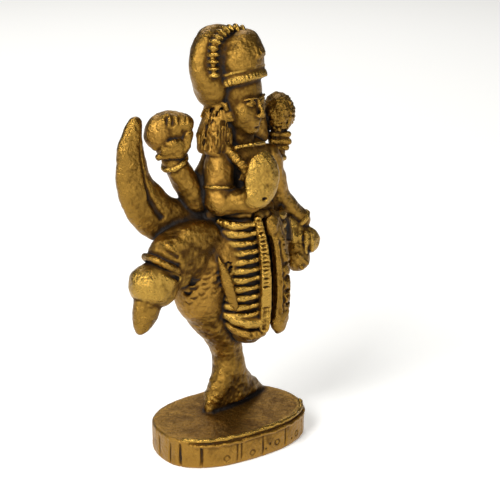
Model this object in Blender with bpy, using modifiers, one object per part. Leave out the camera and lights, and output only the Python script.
"""A miniature cast-brass nataraja: a four-armed dancing figure on a D-shaped pedestal.

Metres, +Z up. The origin is the middle of the pedestal's flat underside. The figure faces -Y, so its right is -X.
The casting is solid: each piece is one lump of the wax pattern, seated against its neighbours with a small clearance.
Pieces are built in order, and each one is cut back where it would run into a piece built before it.
"""

import math
from dataclasses import dataclass

import bmesh
import bpy
from mathutils import Matrix, Vector

MM = 0.001
SEAT_GAP = 0.3
SECTION_SIDES = 10
CAP_STEPS = 2
LEAST_CUT = 1e-4

# Pedestal: a D-shaped slab, its long side along X, rounder at the back than at the front.
PEDESTAL_HALF_LENGTH = 13.75
PEDESTAL_FRONT = 8.6
PEDESTAL_BACK = 10.5
PEDESTAL_HEIGHT = 5.0
PEDESTAL_POWER = 2.4
PEDESTAL_SIDES = 44
RIM_RADIUS = 0.75
RIM_INSET = 0.9

# The figure's upright axis, and the heights that its parts are set from.
AXIS_X = 4.2
AXIS_Y = 2.1
SOLE = PEDESTAL_HEIGHT
ANKLE = 12.0
HEM = 20.0
BELT = 41.0
SHOULDER = 50.0
CHIN = 54.2
BROW = 61.6

# Dress: the dhoti is an oval barrel, and the pleats are rolls laid across its front.
DHOTI_HALF_WIDTH = 6.0
DHOTI_HALF_DEPTH = 5.0
PLEAT_COUNT = 11
PLEAT_TOP = 39.8
PLEAT_BOTTOM = 23.0
PLEAT_DEPTH = 0.7
PANEL_THICKNESS = 0.8
PLEAT_ROWS_EACH = 3
PANEL_COLUMNS = 6

# Head and crown: turned a little towards the figure's left, the crown tipped back.
HEAD_CENTRE = (3.4, 1.5, 58.4)
HEAD_TURN = 18.0
CROWN_TIP_BACK = -18.0

BRASS = {
    "polished": ((0.78, 0.55, 0.20), 0.26),
    "worn": ((0.62, 0.42, 0.14), 0.34),
    "aged": ((0.42, 0.28, 0.10), 0.45),
    "dark": ((0.20, 0.12, 0.05), 0.55),
}


@dataclass
class Piece:
    """A named sub-part: the lumps that are joined into it, and its brass."""

    name: str
    lumps: list
    brass: str = "worn"


def clear_scene():
    for obj in list(bpy.data.objects):
        bpy.data.objects.remove(obj, do_unlink=True)


def object_from(mesh_data, name):
    """A mesh object, in millimetres while the pieces are being cut, from a bmesh."""
    bmesh.ops.remove_doubles(mesh_data, verts=mesh_data.verts, dist=1e-4)
    bmesh.ops.recalc_face_normals(mesh_data, faces=mesh_data.faces)
    mesh = bpy.data.meshes.new(name)
    mesh_data.to_mesh(mesh)
    mesh_data.free()
    obj = bpy.data.objects.new(name, mesh)
    bpy.context.scene.collection.objects.link(obj)
    return obj


def loft(rings, name, closed=False):
    """A skin through rings of points, with a cap on each end, or joined end to end when closed."""
    mesh_data = bmesh.new()
    rows = [[mesh_data.verts.new(point) for point in ring] for ring in rings]
    pairs = list(zip(rows, rows[1:]))
    if closed:
        pairs.append((rows[-1], rows[0]))
    for low, high in pairs:
        for i in range(len(low)):
            j = (i + 1) % len(low)
            mesh_data.faces.new((low[i], low[j], high[j], high[i]))
    if not closed:
        mesh_data.faces.new(rows[0])
        mesh_data.faces.new(rows[-1])
    return object_from(mesh_data, name)


def oval_ring(half_x, front, back, z, power, sides):
    """A superellipse in plan, with its own depth in front (-Y) and behind (+Y)."""
    ring = []
    for i in range(sides):
        angle = math.tau * i / sides
        c = math.cos(angle)
        s = math.sin(angle)
        depth = front if s < 0 else back
        x = half_x * math.copysign(abs(c) ** (2 / power), c)
        y = depth * math.copysign(abs(s) ** (2 / power), s)
        ring.append(Vector((x, y, z)))
    return ring


def turned_to(axis, reference):
    """Three unit vectors: across, the reference made square to the axis, and the axis."""
    along = Vector(axis).normalized()
    depth = Vector(reference)
    depth = (depth - along * depth.dot(along)).normalized()
    return depth.cross(along), depth, along


def limb(stations, reference=(0, 1, 0), power=2.0, sides=SECTION_SIDES, round_ends=(1.0, 1.0)):
    """A rounded bar through stations (x, y, z, half_width, half_depth); half_depth lies along the reference."""

    def build(grow):
        places = [Vector(station[:3]) for station in stations]
        frames = []
        for i, place in enumerate(places):
            before = places[max(i - 1, 0)]
            after = places[min(i + 1, len(places) - 1)]
            frames.append(turned_to(after - before, reference))

        def ring(index, shift, scale):
            across, depth, along = frames[index]
            width = (stations[index][3] + grow) * scale
            thickness = (stations[index][4] + grow) * scale
            points = []
            for i in range(sides):
                angle = math.tau * (i + 0.5) / sides
                c = math.cos(angle)
                s = math.sin(angle)
                u = width * math.copysign(abs(c) ** (2 / power), c)
                v = thickness * math.copysign(abs(s) ** (2 / power), s)
                points.append(places[index] + along * shift + across * u + depth * v)
            return points

        def cap(index, direction, roundness):
            reach = (min(stations[index][3:5]) + grow) * roundness
            rings = []
            for step in range(1, CAP_STEPS + 1):
                angle = math.pi / 2 * step / (CAP_STEPS + 0.4)
                rings.append(ring(index, direction * reach * math.sin(angle), math.cos(angle)))
            return rings

        rings = cap(0, -1, round_ends[0])[::-1]
        rings += [ring(i, 0, 1) for i in range(len(stations))]
        rings += cap(len(stations) - 1, 1, round_ends[1])
        return loft(rings, "limb")

    return build


def ball(centre, radii, turn=(0, 0, 0), segments=12):
    """An ellipsoid, turned by degrees about X, Y and Z."""

    def build(grow):
        mesh_data = bmesh.new()
        bmesh.ops.create_uvsphere(mesh_data, u_segments=segments, v_segments=segments * 2 // 3, radius=1)
        size = Matrix.Diagonal([radius + grow for radius in radii] + [1])
        bmesh.ops.transform(mesh_data, matrix=placed(centre, turn) @ size, verts=mesh_data.verts)
        return object_from(mesh_data, "ball")

    return build


def placed(centre, turn):
    """The matrix that turns by degrees about X, then Y, then Z, and moves to the centre."""
    matrix = Matrix.Translation(centre)
    for degrees, axis in ((turn[2], "Z"), (turn[1], "Y"), (turn[0], "X")):
        matrix = matrix @ Matrix.Rotation(math.radians(degrees), 4, axis)
    return matrix


def hoop(centre, axis, radii, wire, sides=16, wire_sides=6, reference=(0, 1, 0)):
    """A ring of wire around an axis: a bangle, band, belt or necklace."""

    def build(grow):
        across, depth, along = turned_to(axis, reference)
        rings = []
        for i in range(sides):
            angle = math.tau * i / sides
            out = across * math.cos(angle) + depth * math.sin(angle)
            middle = Vector(centre) + across * radii[0] * math.cos(angle) + depth * radii[1] * math.sin(angle)
            ring = []
            for k in range(wire_sides):
                turn = math.tau * k / wire_sides
                ring.append(middle + (out * math.cos(turn) + along * math.sin(turn)) * (wire + grow))
            rings.append(ring)
        return loft(rings, "hoop", closed=True)

    return build


def turned(profile, centre, turn=(0, 0, 0), steps=12):
    """A turned shape: a profile of (radius, height), top to bottom, spun by a Screw modifier."""

    def build(grow):
        mesh_data = bmesh.new()
        top = profile[0][1]
        bottom = profile[-1][1]
        stretch = (top - bottom + 2 * grow) / (top - bottom)
        points = []
        for radius, height in profile:
            out = radius + grow if radius else 0
            points.append(mesh_data.verts.new((out, 0, (height - bottom) * stretch + bottom - grow)))
        for upper, lower in zip(points, points[1:]):
            mesh_data.edges.new((upper, lower))
        mesh = bpy.data.meshes.new("turned")
        mesh_data.to_mesh(mesh)
        mesh_data.free()
        obj = bpy.data.objects.new("turned", mesh)
        bpy.context.scene.collection.objects.link(obj)
        screw = obj.modifiers.new("Screw", "SCREW")
        screw.steps = steps
        screw.render_steps = steps
        screw.use_merge_vertices = True
        screw.merge_threshold = 1e-4
        bake_modifiers(obj)
        obj.data.transform(placed(centre, turn))
        return obj

    return build


def pedestal_slab():
    """The pedestal: straight walls, a small chamfer above and below, a flat underside."""

    def build(grow):
        rings = []
        for inset, z in ((0.3, -grow), (0, 0.35), (0, 4.3), (0.2, 4.75), (0.6, PEDESTAL_HEIGHT + grow)):
            half = PEDESTAL_HALF_LENGTH - inset + grow
            front = PEDESTAL_FRONT - inset + grow
            back = PEDESTAL_BACK - inset + grow
            rings.append(oval_ring(half, front, back, z, PEDESTAL_POWER, PEDESTAL_SIDES))
        return loft(rings, "pedestal")

    return build


def rim_bead():
    """The bead along the front edge of the pedestal's top, from one corner to the other."""
    edge = oval_ring(
        PEDESTAL_HALF_LENGTH - RIM_INSET,
        PEDESTAL_FRONT - RIM_INSET,
        PEDESTAL_BACK - RIM_INSET,
        PEDESTAL_HEIGHT,
        PEDESTAL_POWER,
        PEDESTAL_SIDES,
    )
    first = PEDESTAL_SIDES // 2 + 3
    last = PEDESTAL_SIDES - 3
    stations = [(*point, RIM_RADIUS, RIM_RADIUS) for point in edge[first : last + 1]]
    return limb(stations, reference=(0, 0, 1), sides=8)


def pleated_panel(first_angle, last_angle):
    """A front panel of the dhoti: rolls laid across it one above another, as a wavy skin on a curved plate."""

    def build(grow):
        rows = PLEAT_COUNT * PLEAT_ROWS_EACH
        rings = []
        for row in range(rows + 1):
            part = row / rows
            z = PLEAT_TOP + (PLEAT_BOTTOM - PLEAT_TOP) * part
            swell = abs(math.sin(math.pi * PLEAT_COUNT * part))
            outer = PANEL_THICKNESS + PLEAT_DEPTH * swell + grow
            ring = []
            for side, reach in ((1, outer), (-1, -0.6 - grow)):
                for column in range(PANEL_COLUMNS):
                    share = column / (PANEL_COLUMNS - 1)
                    if side < 0:
                        share = 1 - share
                    angle = math.radians(first_angle + (last_angle - first_angle) * share)
                    half_width = DHOTI_HALF_WIDTH + reach
                    half_depth = DHOTI_HALF_DEPTH + reach
                    x = AXIS_X + 0.6 + half_width * math.cos(angle)
                    y = AXIS_Y + half_depth * math.sin(angle)
                    ring.append(Vector((x, y, z)))
            rings.append(ring)
        return loft(rings, "panel")

    return build


def bake_modifiers(obj):
    """The object's mesh becomes the one its modifiers make."""
    graph = bpy.context.evaluated_depsgraph_get()
    mesh = bpy.data.meshes.new_from_object(obj.evaluated_get(graph), depsgraph=graph)
    obj.modifiers.clear()
    obj.data = mesh


def combine(obj, other, operation):
    """Joins the other object to this one, or cuts it away, and removes the other."""
    modifier = obj.modifiers.new(operation, "BOOLEAN")
    modifier.operation = operation
    modifier.solver = "EXACT"
    modifier.object = other
    bake_modifiers(obj)
    bpy.data.objects.remove(other, do_unlink=True)


def solid(piece, grow=0.0):
    """The piece's lumps joined into one object, each made larger by grow."""
    lumps = [lump(grow) for lump in piece.lumps]
    for other in lumps[1:]:
        combine(lumps[0], other, "UNION")
    return lumps[0]


def box_of(obj):
    points = [vertex.co for vertex in obj.data.vertices]
    low = [min(point[axis] for point in points) for axis in range(3)]
    high = [max(point[axis] for point in points) for axis in range(3)]
    return low, high


def boxes_meet(first, second, margin):
    return all(
        first[0][axis] - margin < second[1][axis] and second[0][axis] - margin < first[1][axis]
        for axis in range(3)
    )


def keep_largest_body(obj):
    """Drops the slivers that a cut leaves on the far side of a neighbour."""
    mesh_data = bmesh.new()
    mesh_data.from_mesh(obj.data)
    bmesh.ops.remove_doubles(mesh_data, verts=mesh_data.verts, dist=LEAST_CUT)
    left = set(mesh_data.verts)
    bodies = []
    while left:
        queue = [left.pop()]
        body = set(queue)
        while queue:
            for edge in queue.pop().link_edges:
                for vertex in edge.verts:
                    if vertex in left:
                        left.discard(vertex)
                        body.add(vertex)
                        queue.append(vertex)
        bodies.append(body)
    bodies.sort(key=len)
    spare = [vertex for body in bodies[:-1] for vertex in body]
    bmesh.ops.delete(mesh_data, geom=spare, context="VERTS")
    bmesh.ops.dissolve_degenerate(mesh_data, edges=mesh_data.edges, dist=LEAST_CUT)
    mesh_data.to_mesh(obj.data)
    mesh_data.free()


def brass_material(piece):
    colour, roughness = BRASS[piece.brass]
    material = bpy.data.materials.new("brass_" + piece.name)
    material.use_nodes = True
    shader = material.node_tree.nodes["Principled BSDF"]
    shader.inputs["Base Color"].default_value = (*colour, 1)
    shader.inputs["Metallic"].default_value = 1
    shader.inputs["Roughness"].default_value = roughness
    material.diffuse_color = (*colour, 1)
    return material


def finish(obj, piece, collection, root):
    """Sets the object's origin in its own middle, scales it to metres, and files it under the root."""
    low, high = box_of(obj)
    middle = (Vector(low) + Vector(high)) / 2
    obj.data.transform(Matrix.Scale(MM, 4) @ Matrix.Translation(-middle))
    obj.location = middle * MM
    obj.name = piece.name
    obj.data.name = piece.name
    obj.data.materials.clear()
    obj.data.materials.append(brass_material(piece))
    obj.data.shade_smooth()
    obj.data.set_sharp_from_angle(angle=math.radians(40))
    bpy.context.scene.collection.objects.unlink(obj)
    collection.objects.link(obj)
    obj.parent = root


def base_pieces():
    return [
        Piece("pedestal", [pedestal_slab()], "aged"),
        Piece("pedestal_rim", [rim_bead()], "polished"),
    ]


def standing_leg():
    """A straight foot along X, and a leg bent outwards at the knee."""
    foot = limb(
        [
            (4.9, 5.4, SOLE - 1.5, 6.5, 2.5),
            (4.8, 5.4, SOLE + 0.4, 6.2, 2.6),
            (4.2, 5.1, SOLE + 1.7, 5.0, 2.7),
            (3.5, 4.8, SOLE + 3.6, 3.8, 2.8),
            (3.1, 4.6, ANKLE - 0.6, 3.1, 2.7),
        ],
        round_ends=(0.1, 0.3),
        sides=14,
    )
    toe = ball((-0.6, 4.4, SOLE + 0.5), (1.3, 1.2, 1.0))
    thigh = limb([(2.6, 2.4, 35.5, 4.8, 4.6), (-1.8, 2.6, 32.4, 5.0, 4.7), (-4.0, 3.0, 28.0, 4.4, 4.3)])
    shin = limb(
        [
            (-3.9, 3.1, 26.4, 4.0, 4.0),
            (-1.3, 3.6, 22.2, 3.9, 3.6),
            (1.2, 4.1, 18.6, 3.3, 3.1),
            (2.6, 4.4, 15.0, 2.8, 2.6),
            (3.0, 4.5, ANKLE, 2.9, 2.6),
        ]
    )
    return [
        Piece("standing_thigh", [thigh], "aged"),
        Piece("standing_shin", [shin], "worn"),
        Piece("standing_foot", [foot, toe], "worn"),
    ]


def raised_leg():
    """A leg lifted to the figure's right, folded down at the knee under a band."""
    thigh = limb([(-0.5, 2.3, 37.4, 3.4, 3.3), (-6.0, 2.1, 37.0, 3.5, 3.4), (-10.6, 1.8, 35.8, 3.5, 3.3)])
    calf = ball((-14.0, 1.4, 31.0), (4.3, 3.7, 3.8), turn=(0, 20, 0), segments=16)
    foot = limb([(-15.2, 1.0, 28.4, 2.4, 2.1), (-16.1, 0.9, 26.0, 1.9, 1.7), (-17.0, 0.8, 24.2, 0.9, 0.8)])
    band = hoop((-12.8, 1.6, 34.3), (-3.1, -0.5, -4.5), (3.3, 3.2), 0.75)
    return [
        Piece("raised_thigh", [thigh], "worn"),
        Piece("raised_calf", [calf], "polished"),
        Piece("raised_foot", [foot], "worn"),
        Piece("raised_knee_band", [band], "worn"),
    ]


def dress():
    """Dhoti, its pleated panels, swags, flap, sashes and belt, and the scarf end that flies out behind."""
    x = AXIS_X + 0.6
    y = AXIS_Y
    body = limb(
        [
            (x, y, HEM + 0.8, 4.6, 3.6),
            (x, y, HEM + 3.4, 6.0, 4.6),
            (x, y, 29.0, DHOTI_HALF_WIDTH, DHOTI_HALF_DEPTH),
            (x, y, 35.0, DHOTI_HALF_WIDTH, DHOTI_HALF_DEPTH),
            (x - 0.3, y, BELT - 1.0, 5.2, 4.2),
        ],
        sides=16,
        round_ends=(0.3, 0.1),
    )
    belt = hoop((x - 0.4, y, BELT), (0, 0, 1), (4.9, 3.9), 0.85)
    centre_sash = limb(
        [(4.0, -3.4, 40.2, 1.2, 0.8), (4.1, -4.9, 36, 1.4, 0.8), (4.1, -5.1, 29, 1.5, 0.8), (4.2, -4.4, 20.4, 1.5, 0.8)],
        power=3,
        round_ends=(0.3, 0.3),
    )
    side_sash = limb(
        [(6.0, -3.0, 39.9, 1.1, 0.8), (7.2, -4.1, 35, 1.4, 0.8), (7.5, -4.2, 28.5, 1.5, 0.8), (7.5, -3.7, 22, 1.6, 0.8)],
        power=3,
        round_ends=(0.3, 0.3),
    )
    lobe = ball((7.5, -3.4, 21.2), (1.8, 1.2, 2.2))
    upper_swag = limb(
        [(-2.1, -0.4, 24.6, 0.7, 1.0), (-0.2, -2.6, 22.9, 1.2, 1.0), (3.2, -4.0, 22.3, 1.2, 1.0)],
        reference=(-0.5, -1, 0.2),
    )
    lower_swag = limb(
        [(-1.0, 0.2, 22.0, 0.7, 1.0), (0.8, -2.0, 19.9, 1.2, 1.2), (3.8, -3.0, 19.3, 1.1, 1.2)],
        reference=(-0.5, -1, 0.2),
    )
    flap = limb(
        [(-3.4, -0.6, 34.8, 0.6, 0.7), (-3.4, -1.4, 31.5, 1.4, 0.8), (-2.7, -1.9, 28, 1.4, 0.8), (-1.5, -2.2, 25.4, 0.6, 0.7)],
        reference=(-0.8, -0.6, 0),
    )
    scarf = limb(
        [
            (-14.5, 5.5, 57.2, 0.9, 0.8),
            (-15.5, 5.5, 54.0, 1.8, 1.2),
            (-15.2, 5.5, 49.4, 2.8, 1.5),
            (-13.5, 5.5, 45.2, 3.5, 1.7),
            (-9.9, 5.4, 41.0, 3.8, 1.9),
            (-4.2, 5.0, 39.2, 3.0, 2.0),
        ],
        round_ends=(0.6, 0.6),
        power=2.4,
    )
    return [
        Piece("dhoti", [body], "aged"),
        Piece("belt", [belt], "dark"),
        Piece("centre_sash", [centre_sash], "polished"),
        Piece("side_sash", [side_sash, lobe], "worn"),
        Piece("hem_swag_upper", [upper_swag], "polished"),
        Piece("hem_swag_lower", [lower_swag], "worn"),
        Piece("side_flap", [flap], "worn"),
        Piece("pleats_right", [pleated_panel(188, 266)], "polished"),
        Piece("pleats_left", [pleated_panel(292, 350)], "polished"),
        Piece("scarf_end", [scarf], "worn"),
    ]


def upper_body():
    x = AXIS_X
    y = AXIS_Y
    torso = limb(
        [
            (x, y, BELT + 0.6, 4.0, 3.1),
            (x, y, BELT + 3.0, 4.0, 3.0),
            (x + 0.2, y, BELT + 6.4, 5.0, 3.4),
            (x + 0.3, y, SHOULDER - 0.4, 5.4, 3.2),
        ],
        sides=16,
        round_ends=(0.1, 0.7),
    )
    neck = limb([(3.9, 2.1, SHOULDER + 1.4, 2.3, 2.2), (3.7, 1.9, CHIN, 2.1, 2.1)])
    skull = ball(HEAD_CENTRE, (3.5, 3.8, 4.4), turn=(0, 0, HEAD_TURN), segments=16)
    nose = ball((4.6, -2.4, 57.9), (0.6, 0.8, 1.0), turn=(0, 0, HEAD_TURN))
    necklace = hoop((3.9, 1.5, SHOULDER + 1.5), (0, 0.35, 1), (3.5, 3.3), 0.6)
    garland = limb(
        [(0.0, 0.6, 52.0, 0.6, 0.6), (1.0, -1.0, 50.2, 0.6, 0.6), (2.6, -1.9, 47.8, 0.6, 0.6), (4.6, -1.8, 45.6, 0.6, 0.6)],
        reference=(1, 1, 0),
    )
    return [
        Piece("torso", [torso], "aged"),
        Piece("head", [skull, neck, nose], "worn"),
        Piece("necklace", [necklace], "polished"),
        Piece("shoulder_garland", [garland], "worn"),
    ]


def crown_place(forward, up):
    """A place on the crown's own axis, which leans back from the brow."""
    matrix = placed((HEAD_CENTRE[0] - 0.1, HEAD_CENTRE[1], BROW), (CROWN_TIP_BACK, 0, HEAD_TURN))
    return matrix @ Vector((0, -forward, up))


def crown():
    lean = (CROWN_TIP_BACK, 0, HEAD_TURN)
    axis = crown_place(0, 1) - crown_place(0, 0)
    dome = [(0, 8.4), (1.3, 8.0), (2.6, 6.6), (3.5, 4.4), (3.9, 2.0), (3.8, 0), (0, 0)]
    hood = ball((0.9, 4.0, 65.2), (5.2, 3.0, 6.6), turn=(-8, 0, HEAD_TURN), segments=16)
    crest = []
    for i in range(11):
        angle = math.pi * (1.12 - 1.24 * i / 10)
        place = placed((1.9, 2.0, 65.0), (-12, 0, HEAD_TURN)) @ Vector((5.1 * math.cos(angle), 0, 6.4 * math.sin(angle)))
        crest.append((*place, 0.7, 0.7))
    rosette_places = {"right": (-0.9, 2.2, 56.2), "left": (7.9, 3.0, 56.4)}
    lock_places = {
        "right": [(-0.9, 3.6, 58.6, 1.1, 1.2), (-2.0, 3.8, 55.6, 1.5, 1.4), (-1.9, 3.6, 52.6, 1.3, 1.2)],
        "left": [(7.2, 4.6, 58.6, 1.1, 1.2), (8.6, 4.4, 55.6, 1.5, 1.4), (8.6, 3.8, 52.6, 1.3, 1.2)],
    }
    pieces = [
        Piece("crown_dome", [turned(dome, crown_place(0.2, 0.6), lean)], "worn"),
        Piece("crown_band_lower", [hoop(crown_place(0, 0.2), axis, (3.9, 4.0), 0.7, sides=18)], "polished"),
        Piece("crown_band_upper", [hoop(crown_place(0, 1.8), axis, (3.9, 4.0), 0.55, sides=18)], "polished"),
        Piece("crown_hood", [hood], "worn"),
        Piece("crown_crest", [limb(crest, sides=8)], "polished"),
    ]
    for side, place in rosette_places.items():
        pieces.append(Piece("ear_rosette_" + side, [ball(place, (1.2, 1.1, 1.2))], "worn"))
    for side, stations in lock_places.items():
        pieces.append(Piece("hair_lock_" + side, [limb(stations)], "aged"))
    return pieces


def fist(centre, radii, turn, count):
    """A closed hand: a rounded palm, and fingers laid side by side across its face."""
    matrix = placed(centre, turn)
    lumps = [ball(centre, radii, turn)]
    for i in range(count):
        across = radii[0] * (1.3 * (i + 0.5) / count - 0.65)
        low = matrix @ Vector((across, -radii[1] * 0.75, -radii[2] * 0.35))
        high = matrix @ Vector((across, -radii[1] * 0.55, radii[2] * 0.62))
        thick = radii[0] * 0.62 / count + 0.15
        lumps.append(limb([(*low, thick, thick), (*high, thick, thick)], sides=8, reference=(0, 1, 0.3)))
    return lumps


def arm(name, shoulder, elbow, wrist, radii, band_share, brass="worn"):
    """Upper arm, forearm and a band: band_share runs from the shoulder (0) over the elbow (1) to the wrist (2)."""
    start = Vector(shoulder)
    bend = Vector(elbow)
    end = Vector(wrist)
    top, middle, low = radii
    upper_stations = [(*start, top, top), (*start.lerp(bend, 0.5), top, top), (*bend, middle, middle)]
    lower_stations = [(*bend, middle, middle), (*bend.lerp(end, 0.5), (middle + low) / 2, (middle + low) / 2)]
    lower_stations.append((*end, low, low))
    if band_share <= 1:
        place = start.lerp(bend, band_share)
        axis = bend - start
        reach = top
    else:
        place = bend.lerp(end, band_share - 1)
        axis = end - bend
        reach = low
    reference = (0, 1, 0) if abs(axis.normalized().y) < 0.8 else (0, 0, 1)
    band_name = "armlet" if band_share <= 1 else "bangle"
    return [
        Piece(name + "_upper_arm", [limb(upper_stations, reference)], "aged"),
        Piece(name + "_forearm", [limb(lower_stations, reference)], brass),
        Piece(name + "_" + band_name, [hoop(place, axis, (reach + 0.25, reach + 0.25), 0.5, 12, 6, reference)], "polished"),
    ]


def arms():
    pieces = arm("front_right", (-0.3, 2.0, 49.6), (-1.5, 0.5, 43.4), (1.9, -3.6, 43.4), (2.0, 1.9, 1.4), 0.5)
    pieces += arm("rear_right", (-0.4, 4.2, 49.2), (-4.0, 4.4, 43.4), (-8.0, 4.5, 50.0), (1.9, 1.9, 1.4), 1.92)
    pieces += arm("rear_left", (9.2, 3.9, 49.2), (11.4, 4.6, 44.4), (13.1, 4.1, 48.8), (1.8, 1.6, 1.3), 1.85)
    pieces += arm("front_left", (9.5, 2.0, 49.2), (11.7, 2.4, 42.6), (16.5, 1.7, 36.7), (1.9, 1.7, 1.3), 1.9)
    flame = [(0, 4.2), (0.8, 3.4), (1.9, 1.6), (2.5, -0.4), (2.3, -2.2), (1.2, -3.4), (0, -3.6)]
    palm = [ball((3.3, -4.7, 47.8), (3.1, 1.3, 4.5), turn=(-6, 4, 0), segments=14)]
    pieces += [
        Piece("front_right_hand", palm, "polished"),
        Piece("rear_right_hand", fist((-8.8, 4.6, 54.2), (2.9, 2.2, 3.4), (0, 0, -20), 4), "worn"),
        Piece("rear_right_drum", [ball((-11.6, 4.8, 55.4), (1.6, 1.7, 2.3))], "aged"),
        Piece("rear_left_flame", [turned(flame, (12.9, 4.0, 55.8), (0, 6, 0))], "worn"),
        Piece("rear_left_hand", fist((13.3, 4.0, 51.2), (2.1, 1.8, 2.0), (0, 0, -20), 3), "worn"),
        Piece("front_left_hand", fist((17.2, 1.2, 33.2), (2.2, 1.9, 2.6), (0, 15, -20), 3), "polished"),
        Piece("front_left_bud", [ball((14.9, 0.5, 30.3), (1.9, 1.6, 1.6))], "worn"),
    ]
    return pieces


def all_pieces():
    """Every piece, in the order of building: an earlier piece stays whole and later ones are seated on it."""
    pieces = base_pieces() + standing_leg() + raised_leg()
    pieces += upper_body() + dress() + crown() + arms()
    return pieces


def main():
    clear_scene()
    collection = bpy.data.collections.new("nataraja_statue")
    bpy.context.scene.collection.children.link(collection)
    root = bpy.data.objects.new("statue_root", None)
    collection.objects.link(root)
    built = []
    for piece in all_pieces():
        obj = solid(piece)
        box = box_of(obj)
        for other, other_box in built:
            if boxes_meet(box, other_box, SEAT_GAP):
                combine(obj, solid(other, SEAT_GAP), "DIFFERENCE")
        keep_largest_body(obj)
        built.append((piece, box))
        finish(obj, piece, collection, root)


main()
